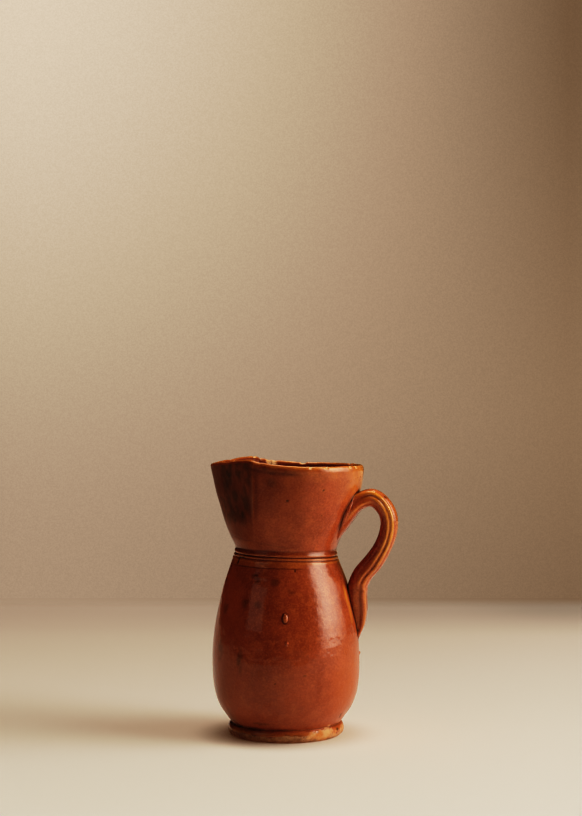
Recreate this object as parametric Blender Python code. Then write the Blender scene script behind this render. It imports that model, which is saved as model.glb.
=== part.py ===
"""Glazed earthenware pouring jug, built as its clay members are put together.

Frame: metres, +Z up, origin on the resting plane under the throwing axis.
The beak points along -X, the handle lies on the +X side, a little towards -Y.
"""
import bpy
import bmesh
from math import acos, cos, pi, radians, sin, sqrt
from mathutils import Vector

for old in list(bpy.data.objects):
    bpy.data.objects.remove(old, do_unlink=True)

MM = 0.001

# ---------------------------------------------------------------- dimensions (millimetres)
RIM_HEIGHT = 200.0          # level part of the rim above the table
JOINT_Z = 134.0             # luted joint between belly and neck, in the incised ring under the waist
SLIP_GAP = 0.36             # clearance left for the slip in every luted joint
BELLY_WALL = 5.0
NECK_WALL = 4.8             # at the waist
RIM_WALL = 4.0              # at the lip
FLOOR = 7.0
HEEL_R = 36.0               # inside radius of the foot coil
FOOT_TOP = 9.6
BEAK_CREASE_X = 23.6        # the two creases of the beak stand at this distance from the axis
BEAK_FOOT_Z = 145.0         # lower edge of the let-in beak
BEAK_SETBACK = 2.4          # how far the keel stands inside the neck's circle
BEAK_NOSE = 8.0             # rounding of the keel
BEAK_FADE = (141.0, 176.0)  # heights between which the beak grows out of the round neck
LIP_CREST = 1.3             # rounding of the lip
SEG = 56

# outside of the thrown bulb: height, radius
BELLY_OUT = [(10.4, 41.2), (16.6, 45.2), (22.5, 48.7), (28.4, 51.1), (38.8, 53.3), (52.2, 54.1),
             (68.7, 53.4), (84.3, 51.6), (97.8, 48.9), (114.2, 44.7), (126.1, 40.9), (134.0, 38.3)]
# outside of the flared neck: height, radius
NECK_OUT = [(134.0, 38.3), (137.3, 37.7), (140.5, 38.3), (144.0, 39.8), (150.0, 42.8), (158.0, 46.7),
            (168.7, 51.0), (178.0, 54.0), (188.0, 56.2), (200.0, 57.8), (206.0, 58.4)]
# rim height above the level part, by angle from the beak
RIM_RISE = [(0.0, 1.1), (25.0, 3.0), (48.0, 4.8), (61.0, 5.2), (72.0, 2.9), (84.0, 1.3), (105.0, 0.1), (180.0, 0.0)]
# handle strap: x, height, offset towards -Y, width, thickness
STRAP = [(46.3, 164.2, 11.6, 27.5, 31.0), (51.4, 170.0, 12.0, 24.5, 20.5), (56.2, 173.5, 12.4, 20.8, 14.8),
         (62.5, 175.8, 12.8, 18.5, 12.6), (70.8, 170.9, 13.0, 17.2, 12.0), (75.9, 158.5, 12.6, 16.6, 12.2),
         (75.2, 150.8, 12.0, 16.6, 12.2), (72.4, 142.4, 11.0, 16.6, 12.2), (66.8, 132.8, 9.6, 16.6, 12.2),
         (60.3, 124.6, 8.3, 17.0, 12.6), (54.9, 117.0, 7.2, 18.0, 13.6), (51.9, 108.5, 6.2, 19.2, 14.2),
         (51.8, 99.0, 5.6, 19.0, 14.0), (52.2, 90.6, 5.0, 17.0, 13.0), (52.2, 83.4, 4.6, 13.5, 10.4),
         (51.8, 76.6, 4.2, 9.5, 7.0), (51.0, 69.5, 3.8, 6.0, 3.4)]
STRAP_AZIMUTH = 9.0         # the strap's plane, degrees from +X towards -Y
ROOT_LEAN = 22.0            # the strap's first section leans like the neck's wall, degrees
ROOT_LENGTH = 19.0          # and comes square to the strap over this length


# ---------------------------------------------------------------- curves
def spline(points):
    """Natural cubic spline through (x, y) points, straight outside them."""
    xs = [p[0] for p in points]
    ys = [p[1] for p in points]
    n = len(xs)
    h = [xs[i + 1] - xs[i] for i in range(n - 1)]
    m = [0.0] * n
    c, d = [0.0] * n, [0.0] * n
    for i in range(1, n - 1):
        rhs = 6.0 * ((ys[i + 1] - ys[i]) / h[i] - (ys[i] - ys[i - 1]) / h[i - 1])
        piv = 2.0 * (h[i - 1] + h[i]) - h[i - 1] * c[i - 1]
        c[i] = h[i] / piv
        d[i] = (rhs - h[i - 1] * d[i - 1]) / piv
    for i in range(n - 2, 0, -1):
        m[i] = d[i] - c[i] * m[i + 1]

    def f(x):
        i = 0
        while i < n - 2 and x > xs[i + 1]:
            i += 1
        a, b = xs[i + 1] - x, x - xs[i]
        if b < 0.0:
            slope = (ys[1] - ys[0]) / h[0] - h[0] * m[1] / 6.0
            return ys[0] + slope * b
        if a < 0.0:
            slope = (ys[-1] - ys[-2]) / h[-1] + h[-1] * m[-2] / 6.0
            return ys[-1] - slope * a
        return ((m[i] * a ** 3 + m[i + 1] * b ** 3) / (6.0 * h[i])
                + (ys[i] / h[i] - m[i] * h[i] / 6.0) * a
                + (ys[i + 1] / h[i] - m[i + 1] * h[i] / 6.0) * b)
    return f


def smoothstep(lo, hi, x):
    t = min(1.0, max(0.0, (x - lo) / (hi - lo)))
    return t * t * (3.0 - 2.0 * t)


belly_r = spline(BELLY_OUT)
neck_r = spline(NECK_OUT)


def linear(points, x):
    for (x0, y0), (x1, y1) in zip(points, points[1:]):
        if x <= x1:
            return y0 + (y1 - y0) * smoothstep(x0, x1, x)
    return points[-1][1]


def wall(z):
    t = min(1.0, max(0.0, (z - JOINT_Z) / (RIM_HEIGHT - JOINT_Z)))
    return NECK_WALL + (RIM_WALL - NECK_WALL) * t


# ---------------------------------------------------------------- mesh helpers
def material(name, rgb, rough):
    mat = bpy.data.materials.new(name)
    mat.use_nodes = True
    bsdf = mat.node_tree.nodes["Principled BSDF"]
    bsdf.inputs["Base Color"].default_value = (rgb[0], rgb[1], rgb[2], 1.0)
    bsdf.inputs["Roughness"].default_value = rough
    mat.diffuse_color = (rgb[0], rgb[1], rgb[2], 1.0)
    return mat


def finish(bm, name, mat):
    bmesh.ops.recalc_face_normals(bm, faces=bm.faces[:])
    mesh = bpy.data.meshes.new(name)
    bm.to_mesh(mesh)
    bm.free()
    ob = bpy.data.objects.new(name, mesh)
    bpy.context.scene.collection.objects.link(ob)
    if mat is not None:
        mesh.materials.append(mat)
    return ob


def lathe(name, profile, mat, seg=SEG, closed=False):
    """Turn a profile of (radius, height) about Z. Points on the axis close it."""
    bm = bmesh.new()
    rings = []
    for r, z in profile:
        if r < 1e-6:
            rings.append([bm.verts.new((0.0, 0.0, z * MM))])
        else:
            rings.append([bm.verts.new((r * cos(2 * pi * k / seg) * MM, r * sin(2 * pi * k / seg) * MM, z * MM))
                          for k in range(seg)])
    pairs = list(zip(rings, rings[1:]))
    if closed:
        pairs.append((rings[-1], rings[0]))
    for a, b in pairs:
        for k in range(seg):
            k1 = (k + 1) % seg
            if len(a) == 1:
                bm.faces.new((a[0], b[k], b[k1]))
            elif len(b) == 1:
                bm.faces.new((a[k], b[0], a[k1]))
            else:
                bm.faces.new((a[k], b[k], b[k1], a[k1]))
    return finish(bm, name, mat)


def sheet(name, outer, inner, included, wrap, mat):
    """A wall of clay: two grids of points [column][row] and the cells that are kept."""
    bm = bmesh.new()
    cols, rows = len(outer), len(outer[0])
    made = {}

    def vert(side, i, j):
        i = i % cols if wrap else i
        key = (side, i, j)
        if key not in made:
            if side < 2:
                p = (outer, inner)[side][i][j]
            else:
                share = 0.3 if side == 2 else 0.7
                p = outer[i][j].lerp(inner[i][j], share) + Vector((0, 0, LIP_CREST))
            made[key] = bm.verts.new(p * MM)
        return made[key]

    def keep(i, j):
        if j < 0 or j >= rows - 1:
            return False
        if wrap:
            i %= cols
        elif i < 0 or i >= cols - 1:
            return False
        return included(i, j)

    for i in range(cols if wrap else cols - 1):
        for j in range(rows - 1):
            if not keep(i, j):
                continue
            o = [vert(0, i, j), vert(0, i + 1, j), vert(0, i + 1, j + 1), vert(0, i, j + 1)]
            n = [vert(1, i, j), vert(1, i + 1, j), vert(1, i + 1, j + 1), vert(1, i, j + 1)]
            bm.faces.new(o)
            bm.faces.new(n[::-1])
            if not keep(i, j - 1):
                bm.faces.new((o[1], o[0], n[0], n[1]))
            for step, a, b in ((-1, 0, 3), (1, 2, 1)):
                if not keep(i + step, j):
                    bm.faces.new((o[a], o[b], n[b], n[a]))
                    if j == rows - 2:
                        top = i if step < 0 else i + 1
                        bm.faces.new((vert(0, top, j + 1), vert(2, top, j + 1),
                                      vert(3, top, j + 1), vert(1, top, j + 1)))
            if not keep(i, j + 1):
                if j == rows - 2:
                    chain = [0, 2, 3, 1]
                    for s, t in zip(chain, chain[1:]):
                        bm.faces.new((vert(s, i, j + 1), vert(s, i + 1, j + 1),
                                      vert(t, i + 1, j + 1), vert(t, i, j + 1)))
                else:
                    bm.faces.new((o[3], o[2], n[2], n[3]))
    return finish(bm, name, mat)


# ---------------------------------------------------------------- neck and beak surface
def crease_angle(z):
    return acos(BEAK_CREASE_X / neck_r(z))


def on_circle(angle, z):
    r = neck_r(z)
    return Vector((-r * cos(angle), -r * sin(angle), z))


def on_beak(t, z):
    """t runs from -1 at the far crease to 1 at the near one."""
    r = neck_r(z)
    side = sqrt(r * r - BEAK_CREASE_X ** 2)
    b = t * side
    grown = smoothstep(BEAK_FADE[0], BEAK_FADE[1], z)
    keel = r - BEAK_SETBACK
    drop = (keel - BEAK_CREASE_X) / (sqrt(side * side + BEAK_NOSE ** 2) - BEAK_NOSE)
    folded = keel - drop * (sqrt(b * b + BEAK_NOSE ** 2) - BEAK_NOSE)
    thrown = sqrt(max(0.0, r * r - b * b))
    return Vector((-(thrown + grown * (folded - thrown)), -b, z))


def normal(surface, u, z):
    e = 0.004
    along = surface(u + e, z) - surface(u - e, z)
    up = surface(u, z + 0.2) - surface(u, z - 0.2)
    n = along.cross(up)
    out = Vector((surface(u, z).x, surface(u, z).y, 0.0))
    if n.dot(out) < 0:
        n = -n
    return n.normalized()


def crease_normal(sign, z):
    """Shared mitre direction of the two walls at a crease; sign 1 is the near crease."""
    a = crease_angle(z)
    n = normal(on_circle, a, z) + normal(on_beak, 0.999, z)
    n = n.normalized()
    return Vector((n.x, n.y * sign, n.z))


def rim_z(x, y):
    angle = acos(max(-1.0, min(1.0, -x / sqrt(x * x + y * y)))) * 180.0 / pi
    return RIM_HEIGHT - LIP_CREST + linear(RIM_RISE, angle)


def level(column, share, base):
    """Height of a row that lies at a share of the way from base to the rim of its column."""
    top = RIM_HEIGHT
    for _ in range(6):
        p = column(top)
        top = rim_z(p.x, p.y)
    return base + (top - base) * share


# ---------------------------------------------------------------- foot coil
clay = material("bare_clay", (0.56, 0.33, 0.17), 0.62)
foot_profile = [(HEEL_R, 0.0), (40.0, 0.0), (41.6, 1.2), (42.5, 3.2), (42.6, 5.2), (42.1, 7.2), (41.2, 8.8),
                (40.4, FOOT_TOP), (HEEL_R, FOOT_TOP)]
lathe("foot_ring", foot_profile, clay, closed=True)

# ---------------------------------------------------------------- belly: thrown bulb with a flat floor
glaze = material("glazed_clay_belly", (0.50, 0.13, 0.035), 0.15)
belly_top = JOINT_Z
outside = [10.4, 14.0, 18.0, 22.5, 27.5, 33.5, 41.0, 50.0, 60.0, 71.0, 82.0, 92.0, 101.0, 109.5, 117.5, 125.0, 130.0, belly_top]
inside = [14.0, 18.0, 24.0, 32.0, 42.0, 55.0, 70.0, 85.0, 100.0, 113.0, 124.0, belly_top]


def belly_inner(z):
    e = 0.2
    slope = (belly_r(z + e) - belly_r(z - e)) / (2 * e)
    k = 1.0 / sqrt(1.0 + slope * slope)
    return belly_r(z) - BELLY_WALL * k, z + BELLY_WALL * slope * k


belly_profile = [(0.0, 0.0), (HEEL_R - SLIP_GAP, 0.0), (HEEL_R - SLIP_GAP, FOOT_TOP + SLIP_GAP),
                 (40.7, FOOT_TOP + SLIP_GAP)]
belly_profile += [(belly_r(z), z) for z in outside]
belly_profile += [belly_inner(z) for z in inside[::-1]]
last_r, last_z = belly_profile[-1]
belly_profile += [(last_r - 3.2, last_z - 5.0), (last_r - 8.5, FLOOR + 1.2), (last_r - 15.0, FLOOR), (0.0, FLOOR)]
belly = lathe("belly", belly_profile, glaze)

# ---------------------------------------------------------------- neck: thrown collar with a gap cut for the beak
neck_glaze = material("glazed_clay_neck", (0.50, 0.13, 0.035), 0.15)
beak_glaze = material("glazed_clay_beak", (0.42, 0.11, 0.03), 0.15)
ROUND_CELLS, BEAK_CELLS = 38, 16
low_rows = [JOINT_Z + SLIP_GAP, 136.0, 138.0, 140.2, 142.6, BEAK_FOOT_Z]
shares = [0.1, 0.22, 0.35, 0.48, 0.61, 0.74, 0.86, 0.95, 1.0]
half = SLIP_GAP / 2


def seam_point(sign, z, towards_beak):
    """A crease point set back half a joint from the crease, and the mitre direction there."""
    n = crease_normal(sign, z)
    if towards_beak:
        r = neck_r(z)
        p = on_beak(sign * (1.0 - half / sqrt(r * r - BEAK_CREASE_X ** 2)), z)
    else:
        p = on_circle(sign * (crease_angle(z) + half / neck_r(z)), z)
    return p, n


outer, inner = [], []
for i in range(ROUND_CELLS + BEAK_CELLS):
    if i <= ROUND_CELLS:
        share = i / ROUND_CELLS

        def column(z, share=share):
            if share in (0.0, 1.0):
                sign = 1.0 if share == 0.0 else -1.0
                return seam_point(sign, z, False)[0]
            a = crease_angle(z)
            return on_circle(a + (2 * pi - 2 * a) * share, z)
    else:
        t = -1.0 + 2.0 * (i - ROUND_CELLS) / BEAK_CELLS

        def column(z, t=t):
            return on_beak(t, z)
    heights = list(low_rows) + [level(column, s, BEAK_FOOT_Z) for s in shares]
    o_col, n_col = [], []
    for z in heights:
        p = column(z)
        if i in (0, ROUND_CELLS):
            n = crease_normal(1.0 if i == 0 else -1.0, z)
        elif i < ROUND_CELLS:
            a = crease_angle(z)
            n = normal(on_circle, a + (2 * pi - 2 * a) * share, z)
        else:
            n = normal(on_beak, t, z)
        o_col.append(p)
        n_col.append(p - n * wall(z))
    outer.append(o_col)
    inner.append(n_col)
sheet("neck", outer, inner, lambda i, j: i < ROUND_CELLS or j < len(low_rows) - 1, True, neck_glaze)

# ---------------------------------------------------------------- beak: folded wall let into the neck
outer, inner = [], []
for i in range(BEAK_CELLS + 1):
    t = -1.0 + 2.0 * i / BEAK_CELLS
    edge = i in (0, BEAK_CELLS)

    def column(z, t=t, edge=edge):
        return seam_point(1.0 if t > 0 else -1.0, z, True)[0] if edge else on_beak(t, z)
    base = BEAK_FOOT_Z + SLIP_GAP
    heights = [base] + [level(column, s, base) for s in shares]
    o_col, n_col = [], []
    for z in heights:
        p = column(z)
        n = crease_normal(1.0 if t > 0 else -1.0, z) if edge else normal(on_beak, t, z)
        o_col.append(p)
        n_col.append(p - n * wall(z))
    outer.append(o_col)
    inner.append(n_col)
sheet("spout", outer, inner, lambda i, j: True, False, beak_glaze)

# ---------------------------------------------------------------- handle: pulled strap, smeared on at the neck, thumbed on at the belly
handle_glaze = material("glazed_clay_handle", (0.50, 0.13, 0.035), 0.15)
length = [0.0]
for p, q in zip(STRAP, STRAP[1:]):
    length.append(length[-1] + sqrt(sum((p[k] - q[k]) ** 2 for k in range(3))))
tracks = [spline([(s, row[k]) for s, row in zip(length, STRAP)]) for k in range(5)]
across = Vector((-sin(radians(STRAP_AZIMUTH)), -cos(radians(STRAP_AZIMUTH)), 0.0))
STATIONS, ROUND = 34, 16


def spot(s):
    return Vector((tracks[0](s), -tracks[2](s), tracks[1](s)))


bm = bmesh.new()
rings = []
for i in range(STATIONS + 1):
    s = length[-1] * i / STATIONS
    tangent = (spot(s + 0.3) - spot(s - 0.3)).normalized()
    side = (across - tangent * across.dot(tangent)).normalized()
    out = side.cross(tangent).normalized()
    lean = radians(ROOT_LEAN) * (1.0 - s / ROOT_LENGTH)
    along_wall = Vector((sin(lean), 0.0, cos(lean)))
    if out.z < 0.0 and s < ROOT_LENGTH:
        out = -out
    out = along_wall.lerp(out, smoothstep(0.0, ROOT_LENGTH, s)).normalized()
    w, t = tracks[3](s) / 2, tracks[4](s) / 2
    ring = []
    for k in range(ROUND):
        a = 2 * pi * k / ROUND
        c, d = cos(a), sin(a)
        fat = (abs(c) ** 2.7 + abs(d) ** 2.7) ** (-1 / 2.7)
        ring.append(bm.verts.new((spot(s) + side * (w * fat * c) + out * (t * fat * d)) * MM))
    rings.append(ring)
for a, b in zip(rings, rings[1:]):
    for k in range(ROUND):
        bm.faces.new((a[k], a[(k + 1) % ROUND], b[(k + 1) % ROUND], b[k]))
bm.faces.new(rings[0][::-1])
bm.faces.new(rings[-1])
handle = finish(bm, "handle", handle_glaze)

# the pot's own outside, one joint's clearance larger, trims the strap's two ends
fit = []
for z in [60.0, 66.0, 72.0, 78.0, 84.0, 90.0, 96.0, 102.0, 108.0, 114.0, 120.0, 126.0, 131.0, 134.2]:
    fit.append((belly_r(z) + SLIP_GAP, z))
for z in [137.3, 140.5, 144.0, 148.0, 153.0, 158.0, 163.0, 168.0, 173.0, 178.0, 184.0, 190.0, 196.0]:
    fit.append((neck_r(z) + SLIP_GAP * 1.15, z))
trim = lathe("strap_trim", [(0.0, 60.0)] + fit + [(0.0, 196.0)], None, seg=96)
trim.hide_render = True
trim.display_type = 'WIRE'
cut = handle.modifiers.new("trim", 'BOOLEAN')
cut.operation = 'DIFFERENCE'
cut.solver = 'EXACT'
cut.object = trim
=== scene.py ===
import math

import bmesh
import bpy
import numpy as np
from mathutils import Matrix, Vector
from mathutils.bvhtree import BVHTree


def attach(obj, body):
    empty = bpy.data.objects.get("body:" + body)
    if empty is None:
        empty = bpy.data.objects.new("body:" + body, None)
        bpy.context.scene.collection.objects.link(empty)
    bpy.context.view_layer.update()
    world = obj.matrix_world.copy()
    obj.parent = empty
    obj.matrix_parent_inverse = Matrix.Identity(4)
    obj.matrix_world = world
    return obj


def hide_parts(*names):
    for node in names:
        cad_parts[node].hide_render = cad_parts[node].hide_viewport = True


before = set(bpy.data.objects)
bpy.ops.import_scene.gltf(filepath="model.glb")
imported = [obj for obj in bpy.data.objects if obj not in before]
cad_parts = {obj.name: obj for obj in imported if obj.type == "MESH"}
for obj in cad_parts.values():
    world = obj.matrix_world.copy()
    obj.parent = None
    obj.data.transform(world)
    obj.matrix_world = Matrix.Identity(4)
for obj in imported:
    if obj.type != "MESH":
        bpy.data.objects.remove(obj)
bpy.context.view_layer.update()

MM = 0.001
PI = math.pi

# ------------------------------------------------------------------ the jug's dimensions, millimetres, as in the CAD
RIM_HEIGHT = 200.0
JOINT_Z = 134.0
BELLY_WALL = 5.0
NECK_WALL = 4.8
RIM_WALL = 4.2
FLOOR = 7.0
HEEL_R = 36.0
FOOT_TOP = 9.6
CREASE_X = 23.6
BEAK_FOOT_Z = 145.0
BEAK_SETBACK = 2.4
BEAK_NOSE = 8.0
BEAK_FADE = (141.0, 176.0)
LIP = 5.0                    # height of the rounded lip
WAIST_TILT = 1.3             # the incised rings were cut a little out of level

BELLY_OUT = [(10.4, 41.2), (16.6, 45.2), (22.5, 48.7), (28.4, 51.1), (38.8, 53.3), (52.2, 54.1),
             (68.7, 53.4), (84.3, 51.6), (97.8, 48.9), (114.2, 44.7), (126.1, 40.9), (134.0, 38.3)]
NECK_OUT = [(134.0, 38.3), (137.3, 37.7), (140.5, 38.3), (144.0, 39.8), (150.0, 42.8), (158.0, 46.7),
            (168.7, 51.0), (178.0, 54.0), (188.0, 56.2), (200.0, 57.8), (206.0, 58.4)]
RIM_RISE = [(0.0, 1.1), (25.0, 3.0), (48.0, 4.8), (61.0, 5.2), (72.0, 2.9), (84.0, 1.3), (105.0, 0.1), (180.0, 0.0)]
STRAP = [(46.3, 164.2, 11.6, 27.5, 32.0), (51.4, 170.0, 12.0, 24.5, 20.5), (56.2, 173.5, 12.4, 20.8, 14.8),
         (62.5, 175.8, 12.8, 18.5, 12.6), (70.8, 170.9, 13.0, 17.2, 12.0), (75.9, 158.5, 12.6, 16.6, 12.2),
         (75.2, 150.8, 12.0, 16.6, 12.2), (72.4, 142.4, 11.0, 16.6, 12.2), (66.8, 132.8, 9.6, 16.6, 12.2),
         (60.3, 124.6, 8.3, 17.0, 12.6), (54.9, 117.0, 7.2, 18.0, 13.6), (51.9, 108.5, 6.2, 19.2, 14.2),
         (51.8, 99.0, 5.6, 19.0, 14.0), (52.2, 90.6, 5.0, 17.0, 13.0), (52.2, 83.4, 4.6, 13.5, 10.4),
         (51.8, 76.6, 4.2, 9.5, 7.0), (51.0, 69.5, 3.8, 6.0, 3.4)]
STRAP_AZIMUTH = 9.0
ROOT_LEAN = 22.0
ROOT_LENGTH = 19.0


# ------------------------------------------------------------------ curves and noise
def spline(points):
    """Natural cubic spline through (x, y) points, straight outside them; works on arrays."""
    xs = np.array([p[0] for p in points], float)
    ys = np.array([p[1] for p in points], float)
    n = len(xs)
    h = np.diff(xs)
    a = np.zeros((n, n))
    rhs = np.zeros(n)
    a[0, 0] = a[-1, -1] = 1.0
    for i in range(1, n - 1):
        a[i, i - 1], a[i, i], a[i, i + 1] = h[i - 1], 2 * (h[i - 1] + h[i]), h[i]
        rhs[i] = 6 * ((ys[i + 1] - ys[i]) / h[i] - (ys[i] - ys[i - 1]) / h[i - 1])
    m = np.linalg.solve(a, rhs)
    lo = (ys[1] - ys[0]) / h[0] - h[0] * m[1] / 6
    hi = (ys[-1] - ys[-2]) / h[-1] + h[-1] * m[-2] / 6

    def f(x):
        x = np.asarray(x, float)
        i = np.clip(np.searchsorted(xs, x) - 1, 0, n - 2)
        u, v = xs[i + 1] - x, x - xs[i]
        y = ((m[i] * u ** 3 + m[i + 1] * v ** 3) / (6 * h[i]) + (ys[i] / h[i] - m[i] * h[i] / 6) * u
             + (ys[i + 1] / h[i] - m[i + 1] * h[i] / 6) * v)
        y = np.where(x < xs[0], ys[0] + lo * (x - xs[0]), y)
        return np.where(x > xs[-1], ys[-1] + hi * (x - xs[-1]), y)
    return f


def smooth(lo, hi, x):
    t = np.clip((np.asarray(x, float) - lo) / (hi - lo), 0.0, 1.0)
    return t * t * (3 - 2 * t)


def steps(points, x):
    """Smooth steps between (x, y) points."""
    x = np.asarray(x, float)
    y = np.full(x.shape, float(points[0][1]))
    for (x0, y0), (x1, y1) in zip(points, points[1:]):
        y = y + (y1 - y0) * smooth(x0, x1, x)
    return y


def bell(x, centre, width):
    return np.exp(-((np.asarray(x, float) - centre) / width) ** 2)


def wrap_deg(a):
    return (np.asarray(a, float) + 180.0) % 360.0 - 180.0


def lattice(ix, iy, iz, seed):
    n = (ix * 374761393 + iy * 668265263 + iz * 2147483647 + seed * 1274126177) & 0xFFFFFFFF
    n = ((n ^ (n >> 13)) * 1274126177) & 0xFFFFFFFF
    n = (n ^ (n >> 16)) & 0xFFFFFFFF
    return n / 4294967295.0


def noise3(p, size, seed):
    """Value noise in 0..1 with features of about `size` millimetres."""
    q = np.asarray(p, float) / size + 1000.0
    i = np.floor(q).astype(np.int64)
    f = q - i
    f = f * f * (3 - 2 * f)
    out = 0.0
    for dx in (0, 1):
        wx = f[..., 0] if dx else 1 - f[..., 0]
        for dy in (0, 1):
            wy = f[..., 1] if dy else 1 - f[..., 1]
            for dz in (0, 1):
                wz = f[..., 2] if dz else 1 - f[..., 2]
                out = out + wx * wy * wz * lattice(i[..., 0] + dx, i[..., 1] + dy, i[..., 2] + dz, seed)
    return out


def fbm(p, size, seed, octaves=3):
    out, amp, total = 0.0, 1.0, 0.0
    for k in range(octaves):
        out = out + amp * noise3(p, size / 2 ** k, seed + 17 * k)
        total += amp
        amp *= 0.5
    return out / total


belly_r = spline(BELLY_OUT)
neck_r = spline(NECK_OUT)


def pot_r(z):
    z = np.asarray(z, float)
    return np.where(z < JOINT_Z, belly_r(z), neck_r(z))


def fuller(z):
    """The glaze coat makes the fired belly a little fuller than the clay."""
    return 0.75 * smooth(9.0, 22.0, z) * (1 - smooth(108.0, 131.0, z))


def wall(z):
    t = np.clip((np.asarray(z, float) - JOINT_Z) / (RIM_HEIGHT - JOINT_Z), 0, 1)
    return NECK_WALL + (RIM_WALL - NECK_WALL) * t


def polar(theta, r, z):
    """theta in degrees, 0 faces -Y, 90 faces +X."""
    t = np.radians(theta)
    return np.stack([r * np.sin(t), -r * np.cos(t), z + 0 * t], axis=-1)


# ------------------------------------------------------------------ mesh helpers
ATTRS = ("pool_and_shade", "thin_and_painted_light", "chip", "stain", "bare", "inside", "dark")


def make_piece(name, verts, faces, attrs, sharp=42.0):
    mesh = bpy.data.meshes.new(name)
    mesh.from_pydata((np.asarray(verts) * MM).tolist(), [], faces)
    mesh.validate()
    for key in ATTRS:
        layer = mesh.attributes.new(key, 'FLOAT', 'POINT')
        values = np.clip(np.asarray(attrs.get(key, np.zeros(len(verts))), float), 0.0, 1.0)
        layer.data.foreach_set("value", values.astype(np.float32))
    mesh.polygons.foreach_set("use_smooth", np.ones(len(mesh.polygons), dtype=bool))
    mesh.set_sharp_from_angle(angle=math.radians(sharp))
    mesh.update()
    ob = bpy.data.objects.new(name, mesh)
    bpy.context.scene.collection.objects.link(ob)
    return ob


def turned(name, theta, rows_r, rows_z, attrs, poles=(False, False), closed=False, sharp=42.0):
    """A turned piece from radius and height arrays [row][column]; a pole row shrinks to one point."""
    n = len(theta)
    verts, start = [], []
    flat = {k: [] for k in ATTRS}
    nrow = len(rows_r)
    for j in range(nrow):
        start.append(len(verts))
        pole = (j == 0 and poles[0]) or (j == nrow - 1 and poles[1])
        p = polar(theta, rows_r[j], rows_z[j])
        p = p[:1] * np.array([0.0, 0.0, 1.0]) if pole else p
        verts.extend(p.tolist())
        for k in ATTRS:
            v = attrs[k][j] if k in attrs else np.zeros(n)
            flat[k].extend(v[:len(p)].tolist())
    faces = []
    pairs = [(j, j + 1) for j in range(nrow - 1)] + ([(nrow - 1, 0)] if closed else [])
    for j, j1 in pairs:
        a, b = start[j], start[j1]
        for i in range(n):
            i1 = (i + 1) % n
            if j == 0 and poles[0]:
                faces.append((a, b + i1, b + i))
            elif j1 == nrow - 1 and poles[1]:
                faces.append((a + i, a + i1, b))
            else:
                faces.append((a + i, a + i1, b + i1, b + i))
    return make_piece(name, verts, faces, flat, sharp)


# ------------------------------------------------------------------ hand-made unevenness, shared by all walls
rng = np.random.default_rng(804)
WAVES = [(int(rng.integers(1, 9)), rng.uniform(0.01, 0.16), rng.uniform(0, 6.28), rng.uniform(0.4, 1.0)) for _ in range(22)]
TURNS = [(rng.uniform(0.7, 1.9), rng.uniform(0, 6.28), rng.uniform(0.3, 1.0)) for _ in range(9)]


def wobble(theta, z):
    """Slow unevenness of a thrown wall and faint turning marks, millimetres."""
    t = np.radians(theta)
    slow = sum(a * np.sin(m * t + k * z + p) / (1 + 0.25 * m) for m, k, p, a in WAVES) * 0.055
    marks = sum(a * np.sin(k * z + p + 0.6 * t * 0 + 0.35 * np.sin(t + p)) for k, p, a in TURNS) * 0.006
    return slow + marks


def finger_rings(z, theta):
    """Throwing rings left inside the pot."""
    return 0.28 * np.sin(z / 4.3 * 2 * PI / 2.0 + np.radians(theta)) * 0.6


def spots(theta, z, r, items):
    """Soft ellipses (angle, height, half width, half height, strength) on a wall."""
    out = np.zeros(np.broadcast(theta, z).shape)
    for a, h, w, t, s in items:
        x = np.radians(wrap_deg(theta - a)) * r
        d = np.sqrt((x / w) ** 2 + ((z - h) / t) ** 2)
        out = np.maximum(out, s * (1 - smooth(0.45, 1.25, d)))
    return out


# ------------------------------------------------------------------ belly
theta = np.arange(312) * 360.0 / 312 - 180.0
theta = np.sort(np.concatenate([theta[(theta < -4.3) | (theta > 3.3)], np.arange(-4.0, 3.01, 0.25)]))   # closer at the glaze drops
N = len(theta)
th = theta[None, :]
tilt = -WAIST_TILT * np.sin(np.radians(th))

z_rows = np.concatenate([np.arange(10.0, 15.0, 0.45), np.arange(15.0, 72.0, 0.95), np.arange(72.0, 77.0, 0.45), np.arange(77.0, 86.0, 0.95),
                         np.arange(86.0, 97.0, 0.40), np.arange(97.0, 117.0, 0.95), np.arange(117.0, 134.01, 0.32)])
z_rows[-1] = JOINT_Z
base_z = z_rows[:, None] + 0 * th
lift = smooth(112.0, 134.0, base_z)
z_out = base_z + tilt * lift
r_out = belly_r(base_z) + fuller(base_z) + wobble(th, base_z) * smooth(9.0, 20.0, base_z) * (1 - 0.7 * smooth(122, 134, base_z))

# incised rings under the waist
ring2 = bell(base_z, 131.6, 0.42) * (0.75 + 0.25 * np.sin(np.radians(th * 2 + 40)))
ring3 = bell(base_z, 126.2 - 0.004 * wrap_deg(th), 0.40) * smooth(-95, -50, wrap_deg(th)) * (1 - smooth(8, 26, wrap_deg(th)))
seam = bell(base_z, 134.0, 0.50)
r_out = r_out - 0.32 * ring2 - 0.20 * ring3 - 0.80 * seam
r_out = r_out + 0.16 * bell(base_z, 132.9, 0.55) + 0.14 * bell(base_z, 130.3, 0.7)

# glaze drops, grit and small scars
def mound(a, h, w, t, height, sharpness=2.0):
    x = np.radians(wrap_deg(th - a)) * belly_r(base_z)
    d = np.sqrt((x / w) ** 2 + ((base_z - h) / t) ** 2)
    return height * np.clip(1 - d ** sharpness, 0, 1) ** 0.7


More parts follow.
